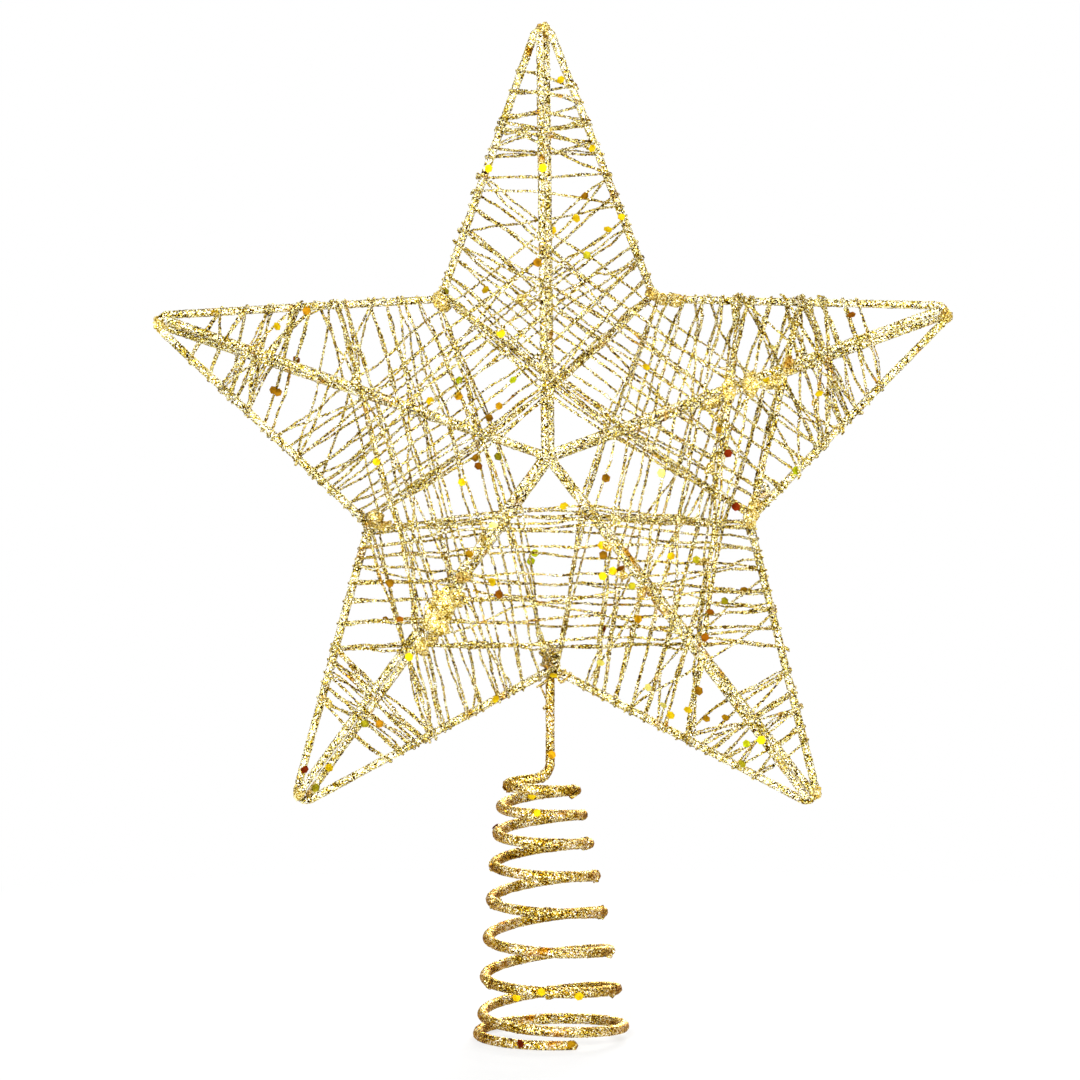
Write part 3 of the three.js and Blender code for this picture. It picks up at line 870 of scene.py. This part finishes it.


# Colours of flakes, each from its share on
# The palest, near-white flakes are painted glints and the darkest partly painted shade; the rest is
# the glitter's own gold tone.
PALE = [(0, "1A0A00"), (0.2, "563600"), (0.32, "92740A"), (0.43, "C2AA3A"), (0.55, "E8D87E"),
        (0.67, "FEFAC0"), (0.79, "FFFFF4")]
THREADS = [(0, "1A0A00"), (0.22, "563400"), (0.36, "906E04"), (0.49, "BC9E2A"), (0.62, "E2D06C"),
           (0.75, "FEF8B8"), (0.87, "FFFFEC")]
DEEP = [(0, "220C00"), (0.17, "5E3600"), (0.33, "926A04"), (0.5, "BE9A22"), (0.66, "E4CE6C"),
        (0.79, "FCF6BA"), (0.9, "FFFFF0")]
LUMPY = [(0, "3A2400"), (0.13, "7C5C08"), (0.29, "B09028"), (0.48, "D8BC5C"), (0.7, "F0E09A"),
         (0.92, "FFFFE0")]
DARK = [(0, "2C1600"), (0.12, "5C3800"), (0.27, "90680C"), (0.43, "BC9632"), (0.6, "E0C66C"),
        (0.76, "FAF0BA")]
outline_glitter = glitter("outline_glitter", PALE)
ridge_glitter = glitter("ridge_glitter", PALE, patch=7)
thread_glitter = glitter("thread_glitter", THREADS, patch=3, glue=0.63)
lump_glitter = glitter("lump_glitter", LUMPY, flake=0.24, patch=2.5, glue=0.6)
# The coil's sides value paints shade in its glue colour on its bends and on the stem's edges.
coil_glitter = glitter("coil_glitter", DEEP, flake=0.25, patch=6, patch_strength=0.5, glue=0.61,
                       metallic=0.65, sides=0.9, glue_and_shade_colour="BC8820")
lashing_glitter = glitter("lashing_glitter", DARK, flake=0.3, patch=2)


# Wires

outline_corners = [p for i in range(5) for p in (lifted(tip(i), 0), lifted(valley(i), 0))]
outline_path = evenly(bend_corners(outline_corners, [BEND_RADIUS] * 10, True), GRAIN_STEP, True)
show_wire("outline", outline_path, OUTLINE / 2, 18, outline_glitter,
          grain=0.09, closed=True, swell=OUTLINE_SHOWN, replaced="star_outline")

for k, ridge in enumerate(ridge_lines):
    side = "front" if ridge["side"] > 0 else "back"
    arm = ARMS[k % 5]
    start = lifted(ridge["start"], ridge["start_lift"], ridge["side"])
    end = lifted(ridge["end"], ridge["end_lift"], ridge["side"])
    path = evenly([start, end], GRAIN_STEP)
    show_wire(f"{side}_{arm}_ridge", path, RIDGE / 2, 16, ridge_glitter,
              grain=0.09, swell=RIDGE_SHOWN, replaced=f"{side}_ridge_{arm}")


def pressed(path):
    """A thread's path, pressed close to the outline where it is bent round it."""
    for k in range(10):
        start, end = (np.array(outline_corners[m % 10])[[0, 2]] for m in (k, k + 1))
        run = (end - start) / np.linalg.norm(end - start)
        outward = np.array([-run[1], run[0]])
        from_start = path[:, [0, 2]] - start
        on_edge = from_start @ run
        proud = from_start @ outward - MOST_PROUD
        inside = (on_edge > 0) & (on_edge < np.linalg.norm(end - start))
        out = inside & (proud > 0) & (proud < PRESSED_WITHIN)
        path[np.ix_(out, [0, 2])] -= PRESSED_BY * proud[out, None] * outward
    return path


def loosened(points, sway, drift):
    """A thread's path, rounded at its bends, swaying and drifting where it is free."""
    path = smoothed(evenly(points, GRAIN_STEP), SMOOTHINGS)
    count = len(path)
    free = to_turn(path)
    sways, drifts = np.minimum(1, free / SWAY_FREE), np.minimum(1, free / DRIFT_FREE)
    for axis, share in ((0, 1), (1, DEPTH_SHARE), (2, 1)):
        path[:, axis] += share * sways * sway * slow_noise(count, SWAY_SPACING)
        path[:, axis] += share * drifts * drift * slow_noise(count, DRIFT_SPACING)
    return pressed(path)


def show_thread(name, points, replaced=None, material=thread_glitter, sway=0.3,
                drift=0.7, double=1.0):
    """Adds a thread, given how far it sways, how far it drifts between its bends and how far
    aside a second strand lies."""
    show_wire(name, loosened(points, sway, drift), THREAD * THREAD_SHOWN / 2, 7, material,
              grain=0.13, lump=0.16, double=double, replaced=replaced)


show_thread("lashing", lashing(), "stem_lashing", lashing_glitter, sway=0.1,
            drift=0, double=0)
for i in range(5):
    show_thread(f"{VALLEYS[i]}_bunch", valley_winding(i), sway=0.35, drift=0.5,
                double=0.4 if BUNCH_LOOPS[i] > 2 else 0)
for i in range(5):
    show_thread(f"{VALLEYS[i]}_web", body_winding(i), f"web_{VALLEYS[i]}",
                double=0.8 if i in DENSE_WEBS else 0)
    show_thread(f"{VALLEYS[i]}_wanderer", wandering_winding(i), sway=0.5, drift=1.2, double=0)
for i in range(5):
    show_thread(f"{ARMS[i]}_tip_wrap", tip_winding(i), f"tip_wrap_{ARMS[i]}", double=0.9)
for i, (loose, stray_turns) in enumerate(LOOSE):
    show_thread(f"{ARMS[i]}_loose_thread", loose_winding(i, *loose), double=0.8)
    if stray_turns:
        show_thread(f"{ARMS[i]}_stray_thread", loose_winding(i, *stray_turns), double=0)
for k, turns in enumerate(GATHERED):
    show_thread(f"gathered_{k}", gathered_winding(*turns))

coil = evenly(coil_path(), GRAIN_STEP)
on_stem = np.clip((coil[:, 2] - STEM_SLIMS_FROM) / STEM_SLIMS_OVER, 0, 1)
show_wire("coil", coil, COIL / 2, 22, coil_glitter, body="coil", grain=0.08,
          swell=COIL_SHOWN - (COIL_SHOWN - STEM_SHOWN) * on_stem, replaced="coil_and_stem")


# Trim: what sits on the wires, placed by a pixel of the photograph

SAME_PLACE = 0.5  # how much further than the closest a wire point may be and still be taken
SEQUIN_SIZE = 2.3
SEQUIN_SIZES = (0.9, 1.05)  # shares of that
SEQUIN_THICKNESS = 0.1
SEQUIN_TILT = 0.45
SEQUIN_ASIDE = 0.8  # the most that a sequin lies beside its wire
CAMERAWARD = Vector((0, -1, 0))
BACK_SEQUINS = 34
BACK_FROM = -2  # places further forward get none of them
BACK_ABOVE = 5


class Carrier:
    """The points along all the wires that something can sit on."""

    def __init__(self):
        self.points = np.vstack([path for path, _, _ in wires_shown])
        self.heading = np.vstack([np.gradient(path, axis=0) for path, _, _ in wires_shown])
        self.heading /= np.linalg.norm(self.heading, axis=1)[:, None]
        self.radius = np.concatenate([np.full(len(path), r) for path, r, _ in wires_shown])
        self.on_coil = np.concatenate(
            [np.full(len(path), body == "coil") for path, _, body in wires_shown])
        self.x, self.y, self.depth = pixels_of(self.points)
        self.scale = self.depth / FOCAL_PIXELS

    def under(self, x, y):
        """The foremost wire point under a pixel, and how far the pixel lies beside it."""
        away = np.hypot(self.x - x, self.y - y) * self.scale
        close = np.flatnonzero(away < away.min() + SAME_PLACE)
        k = close[np.argmin(self.depth[close])]
        beside = Vector((x - self.x[k], 0, self.y[k] - y)) * float(self.scale[k])
        return k, beside


def sequin(place, normal, size):
    """A six-sided disc of film, as points and faces."""
    spin = Matrix.Rotation(dice.uniform(0, 1), 3, "Z").to_quaternion()
    turn = normal.to_track_quat("Z", "Y") @ spin
    angles = [math.pi * k / 3 for k in range(6)]
    ring = [Vector((math.cos(a), math.sin(a), 0)) * size / 2 for a in angles]
    thick = Vector((0, 0, SEQUIN_THICKNESS / 2))
    points = [place + turn @ (p + t) for t in (-thick, thick) for p in ring]
    sides = [(k, (k + 1) % 6, 6 + (k + 1) % 6, 6 + k) for k in range(6)]
    return points, [(5, 4, 3, 2, 1, 0), (6, 7, 8, 9, 10, 11), *sides]


def add_trim(name, shapes, material, body="star"):
    if not shapes:
        return
    points, faces = joined(shapes)
    piece = add_mesh(name, points, faces, material)
    settle(piece, body)


# Colours of sequins, plain and deep, and the pixels where they sit
SEQUINS = {
    "yellow": ("DCC014", "BC960A", [
        (563, 78), (591, 148), (489, 170), (543, 169), (578, 219), (604, 221), (620, 217),
        (552, 230), (485, 292), (279, 327), (376, 462), (501, 334), (430, 401), (462, 482),
        (646, 367), (766, 378), (819, 393), (564, 506), (492, 582), (409, 656), (329, 768),
        (495, 698), (553, 674), (530, 795), (535, 809), (671, 556), (602, 545), (613, 569),
        (602, 577), (681, 710), (677, 720), (761, 740), (542, 991), (580, 999), (513, 997)]),
    "amber": ("B88A12", "8E6406", [
        (459, 397), (499, 406), (719, 430), (470, 553), (552, 755), (608, 547), (638, 619),
        (711, 720), (725, 717), (572, 1041)]),
    "brown": ("96680E", "664406", [
        (584, 196), (538, 263), (306, 312), (271, 388), (281, 393), (489, 417), (476, 458),
        (606, 478), (391, 583), (602, 555), (379, 723), (700, 692)]),
    "olive": ("A49A1C", "706810", [
        (586, 256), (497, 458), (411, 645), (364, 723), (316, 788), (696, 559), (632, 586),
        (725, 600), (743, 763)]),
    "lime": ("B8C414", "98980E", [(459, 380), (513, 380), (795, 470), (747, 743)]),
    "pale": ("F0E884", "D6CA54", [(657, 475), (494, 526), (663, 706), (601, 662), (649, 688)]),
    "orange": ("8C5008", "663802", [
        (854, 312), (621, 569), (499, 594), (399, 620), (477, 468), (711, 612), (705, 637)]),
    "red": ("6C2008", "4A1002", [(729, 454), (735, 506), (306, 771), (521, 1041)]),
}


def slanted(normal):
    away = Vector((jitter(1), jitter(1), jitter(1)))
    return (normal + away * SEQUIN_TILT).normalized()


def seat(k, view, beside=Vector((0, 0, 0))):
    """A sequin on wire point k, on the side that faces along view."""
    heading = Vector(carrier.heading[k])
    out = (view - heading * view.dot(heading)).normalized()
    if beside.length > SEQUIN_ASIDE:
        beside = beside.normalized() * SEQUIN_ASIDE
    place = Vector(carrier.points[k]) + out * (carrier.radius[k] + SEQUIN_THICKNESS) + beside
    return sequin(place, slanted(out), SEQUIN_SIZE * dice.uniform(*SEQUIN_SIZES))


def add_sequins():
    shapes = {}
    for colour, (_, _, pixels) in SEQUINS.items():
        for x, y in pixels:
            k, beside = carrier.under(x, y)
            body = "coil" if carrier.on_coil[k] else "star"
            shapes.setdefault((colour, body), []).append(seat(k, CAMERAWARD, beside))
    colours = list(SEQUINS)
    for _ in range(BACK_SEQUINS):
        k = dice.randrange(len(carrier.points))
        if carrier.points[k][1] < BACK_FROM or carrier.points[k][2] < BACK_ABOVE:
            continue
        body = "coil" if carrier.on_coil[k] else "star"
        colour = colours[min(dice.randrange(10), dice.randrange(10)) % len(colours)]
        view = Vector((jitter(0.5), 1, dice.uniform(-0.3, 0.5)))
        shapes.setdefault((colour, body), []).append(seat(k, view))
    for (colour, body), found in shapes.items():
        light, deep, _ = SEQUINS[colour]
        name = f"{colour}_foil"
        material = bpy.data.materials.get(name) or foil(name, light, deep)
        add_trim(f"{body}_sequins_{colour}", found, material, body)


LUMP_DEPTH = 1.5
BROAD_SWELL = 0.5
BROAD_SCALE = 1.3
FINE_SWELL = 0.35
FINE_SCALE = 3.5
LUMP_GRAIN = 0.06
SOLDER_LENGTH = 1.5
SOLDER_WIDTH = 1.9


def unit_ball():
    made = bmesh.new()
    bmesh.ops.create_icosphere(made, subdivisions=3, radius=1)
    points = [v.co.copy() for v in made.verts]
    faces = [tuple(v.index for v in f.verts) for f in made.faces]
    made.free()
    return points, faces


BALL = unit_ball()


def lump(place, heading, length, width):
    """A blob of glue and glitter, drawn out along a wire and no deeper than the wire's coat."""
    along_wire = Vector(heading).normalized()
    deep = (CAMERAWARD - along_wire * CAMERAWARD.dot(along_wire)).normalized()
    across = along_wire.cross(deep)
    depth = min(width, LUMP_DEPTH)
    seed = Vector([dice.uniform(0, 50) for _ in range(3)])
    points = []
    for v in BALL[0]:
        swell = (1 + BROAD_SWELL * noise.noise(v * BROAD_SCALE + seed)
                 + FINE_SWELL * noise.noise(v * FINE_SCALE + seed))
        swell += LUMP_GRAIN * jitter(1)
        out = across * (v.x * width) + deep * (v.y * depth) + along_wire * (v.z * length)
        points.append(Vector(place) + out * swell)
    return points, BALL[1]


# Where lumps of glue and glitter sit, as a pixel, half a length and half a width
LUMPS = [
    (662, 297, 3, 1.6), (677, 300, 2.2, 1.5), (650, 291, 2, 1.5), (374, 521, 2.4, 1.8),
    (384, 527, 2, 1.4), (440, 298, 2.4, 1.6), (448, 306, 1.6, 1.2), (748, 518, 2.2, 1.8),
    (755, 506, 2, 1.5), (455, 596, 3.2, 2.2), (445, 606, 3.6, 2.6), (436, 622, 4, 3),
    (428, 634, 3, 2.4), (424, 648, 2.5, 1.6), (463, 575, 2, 1.5), (708, 402, 3.2, 2.2),
    (727, 390, 3, 1.7), (748, 384, 3.4, 2), (772, 378, 3.2, 2.6), (790, 368, 2.6, 1.6),
    (640, 592, 1.8, 1), (545, 30, 1.6, 1.4), (163, 325, 1.8, 1.5), (942, 315, 1.8, 1.5),
    (294, 797, 1.8, 1.4), (818, 797, 1.8, 1.4), (608, 546, 1.6, 1.1), (624, 574, 1.5, 1),
    (519, 300, 1.5, 1), (712, 470, 1.6, 1), (700, 560, 1.8, 1), (330, 700, 1.8, 1),
    (480, 540, 2, 1.2),
]
COIL_LUMPS = [
    (506, 786, 1.8, 1.5), (543, 776, 1.6, 1.45), (575, 791, 1.2, 1.5), (500, 829, 1.2, 1.5),
    (590, 838, 1.3, 1.5), (492, 862, 1.3, 1.5), (598, 876, 1.2, 1.5), (487, 905, 1.3, 1.5),
    (550, 908, 1.2, 1.45), (604, 912, 1.2, 1.5), (484, 985, 1.3, 1.5), (610, 950, 1.3, 1.5),
    (545, 985, 1.2, 1.5), (555, 1018, 1.3, 1.5), (616, 992, 1.3, 1.5),
]


def add_lumps():
    shapes = {"star": [], "coil": []}
    for x, y, length, width in LUMPS + COIL_LUMPS:
        k, _ = carrier.under(x, y)
        body = "coil" if carrier.on_coil[k] else "star"
        shapes[body].append(lump(carrier.points[k], carrier.heading[k], length, width))
    for side in (1, -1):
        place = lifted(APEXES[side], APEX_DEPTH, side)
        name = "front" if side > 0 else "back"
        points, faces = lump(place, (0, 1, 0.2), SOLDER_LENGTH, SOLDER_WIDTH)
        piece = add_mesh(f"{name}_solder", points, faces, ridge_glitter)
        settle(piece, "star")
        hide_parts(f"{name}_apex_bead")
    add_trim("star_lumps", shapes["star"], lump_glitter, "star")
    for points, _ in shapes["coil"]:
        for p in points:
            p.z = max(p.z, 0)
    add_trim("coil_lumps", shapes["coil"], coil_glitter, "coil")


EYE_PIXEL = (762, 490)
EYE_RADIUS = 1.35
EYE_WIRE = 0.85
EYE_STEP = 0.35


def eye():
    """The small eye that the outline's wire is bent into where it closes."""
    k, beside = carrier.under(*EYE_PIXEL)
    centre = Vector(carrier.points[k]) + beside
    ring = [
        centre + Vector((EYE_RADIUS * math.cos(a), -0.5 * math.sin(a), EYE_RADIUS * math.sin(a)))
        for a in (2 * math.pi * k / 60 for k in range(60))
    ]
    show_wire("eye", evenly(ring, EYE_STEP, True), EYE_WIRE, 12, outline_glitter,
              closed=True)


TANGLE_ABOVE_VALLEY = 2.6
TANGLE_POINTS = 150
TANGLE_POINTS_A_TURN = 26
TANGLE_REACH = 2.1
TANGLE_UNEVEN = 0.5
TANGLE_DEEPER = 1.3
TANGLE_HEIGHT = 1.9
TANGLE_PHASE = 2.3


def tangle():
    """Thin wire wrapped anyhow round the stem's head and the valley above it."""
    height = STAR_HEIGHT + valley(BOTTOM).y + TANGLE_ABOVE_VALLEY
    centre = Vector((STEM_X, STEM_LIFT * -0.5, height))
    points = []
    for k in range(TANGLE_POINTS):
        a = 2 * math.pi * k / TANGLE_POINTS_A_TURN
        reach = TANGLE_REACH + TANGLE_UNEVEN * math.sin(0.61 * a + TANGLE_PHASE)
        rise = TANGLE_HEIGHT * math.sin(0.43 * a + 2 * TANGLE_PHASE)
        points.append(centre + Vector((
            reach * math.cos(a), TANGLE_DEEPER * reach * math.sin(a), rise)))
    show_thread("tangle", points, None, thread_glitter, sway=0.2, drift=0,
                double=0)


tangle()
carrier = Carrier()
eye()
add_lumps()
add_sequins()


# Floor, world and lamps

bpy.context.scene.view_settings.view_transform = "Standard"

# In metres
FLOOR_REACH = 2.0
FLOOR_DROP = 0.0002
WHITE_FROM = 0.1  # distance from the middle at which the floor starts to fade into the background
WHITE_TO = 0.35
WHITE_NEAR = 0.72  # how white it is within that
ROOM_LIGHT = 0.32


def make_floor():
    r = FLOOR_REACH
    corners = [(-r, -r, 0), (r, -r, 0), (r, r, 0), (-r, r, 0)]
    mesh = bpy.data.meshes.new("floor")
    mesh.from_pydata(corners, [], [(0, 1, 2, 3)])
    floor = bpy.data.objects.new("floor", mesh)
    floor.location.z = -FLOOR_DROP
    bpy.context.collection.objects.link(floor)
    n = Nodes("floor")
    n.shader.inputs["Base Color"].default_value = (0.9, 0.9, 0.9, 1)
    n.shader.inputs["Roughness"].default_value = 0.9
    n.shader.inputs["Specular IOR Level"].default_value = 0
    place = n.add("TexCoord").outputs["Object"]
    far = n.add("VectorMath", {0: place}, operation="LENGTH").outputs["Value"]
    white = n.add("MapRange", {
        "Value": far, "From Min": WHITE_FROM, "From Max": WHITE_TO, "To Min": WHITE_NEAR,
        "To Max": 1})
    share = n.add("Math", {0: white.outputs["Result"], 1: seen_by_eye(n)}, operation="MULTIPLY")
    glow = n.add("Emission", {"Color": (1, 1, 1, 1), "Strength": 1})
    mix = n.add("MixShader", {"Fac": share.outputs[0], 1: n.shader.outputs[0], 2: glow.outputs[0]})
    n.tree.links.new(mix.outputs[0], n.tree.nodes["Material Output"].inputs["Surface"])
    mesh.materials.append(n.material)


def seen_by_eye(n):
    """1 for rays from the camera, reflected or passed through."""
    path = n.add("LightPath").outputs
    two = n.add("Math", {0: path["Is Camera Ray"], 1: path["Is Glossy Ray"]}, operation="MAXIMUM")
    return n.add(
        "Math", {0: two.outputs[0], 1: path["Is Transmission Ray"]}, operation="MAXIMUM"
    ).outputs[0]


def make_world():
    world = bpy.data.worlds.new("studio")
    bpy.context.scene.world = world
    world.use_nodes = True
    n = Nodes.__new__(Nodes)
    n.tree = world.node_tree
    n.tree.nodes.clear()
    room = n.add("Background", {"Color": (1, 1, 1, 1), "Strength": ROOM_LIGHT})
    white = n.add("Background", {"Color": (1, 1, 1, 1), "Strength": 1})
    mix = n.add("MixShader", {"Fac": seen_by_eye(n), 1: room.outputs[0], 2: white.outputs[0]})
    output = n.add("OutputWorld")
    n.tree.links.new(mix.outputs[0], output.inputs["Surface"])


def make_lamp(name, place, target, size, power):
    data = bpy.data.lights.new(name, "AREA")
    data.shape = "DISK"
    data.size = size
    data.energy = power
    lamp = bpy.data.objects.new(name, data)
    lamp.location = place
    lamp.rotation_euler = (Vector(target) - Vector(place)).to_track_quat("-Z", "Y").to_euler()
    bpy.context.collection.objects.link(lamp)


make_floor()
make_world()
MIDDLE = (0, 0, 0.13)
make_lamp("key", (-0.25, -1.1, 0.5), MIDDLE, size=0.35, power=14)
make_lamp("fill", (0.4, -1.0, 0.2), MIDDLE, size=0.5, power=7)
make_lamp("back", (0.2, 1.0, 0.5), MIDDLE, size=0.5, power=16)
